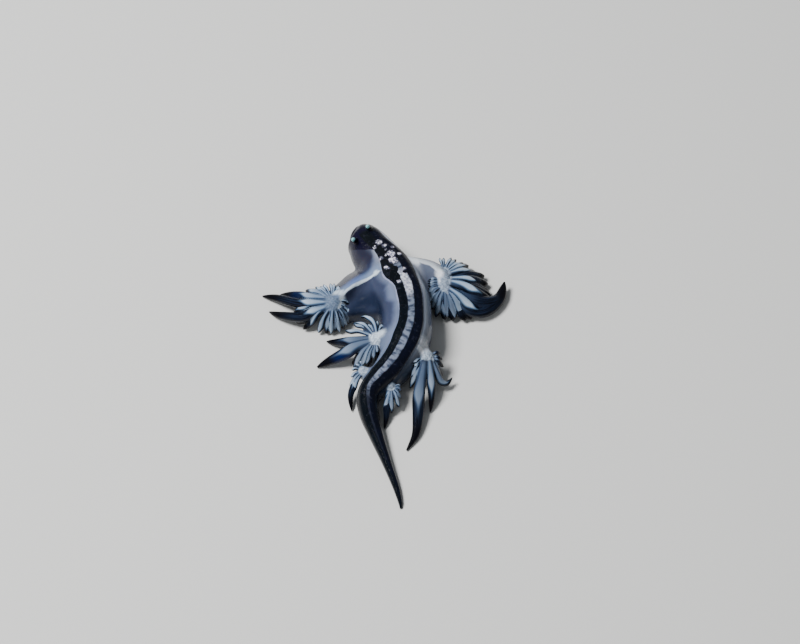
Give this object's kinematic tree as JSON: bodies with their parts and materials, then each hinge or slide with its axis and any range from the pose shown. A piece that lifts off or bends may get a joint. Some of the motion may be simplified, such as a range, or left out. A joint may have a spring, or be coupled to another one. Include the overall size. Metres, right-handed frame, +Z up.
{
  "type": "blue dragon sea slug",
  "caption": "Life-size blue dragon sea slug lying on its back, foot up, with fans of finger-like cerata on its arms and a long tapering tail.",
  "frame": {"origin": "middle of the underside of the whole body's box, on the floor", "axes": "+Y along the body from tail to head, +X to the right as seen from above, +Z up, away from the floor"},
  "size_m": [0.0197, 0.0252, 0.0042],
  "materials": {
    "skin": "wet, smooth, slate blue with pale ridges",
    "foot": "wet, smooth, two near-black stripes and a silver line",
    "cerata": "wet, pale blue with navy edges and near-black tips"
  },
  "bodies": {
    "root": {"head": "skin", "neck": "skin", "trunk_front": "skin", "trunk_middle": "skin", "trunk_rear": "skin", "tail_base": "skin", "tail_middle": "skin", "tail_tip": "skin", "arm_front_left": "skin", "arm_front_right": "skin", "oral_tentacle_left": "skin", "oral_tentacle_right": "skin", "rhinophore_left": "skin", "rhinophore_right": "skin", "foot_front": "foot", "foot_middle": "foot", "foot_rear": "foot", "cerata_front_left": "cerata", "cerata_front_right": "cerata", "cerata_middle_left": "cerata", "cerata_middle_right": "cerata", "cerata_rear_left": "cerata", "cerata_rear_right": "cerata"}
  },
  "joints": []
}
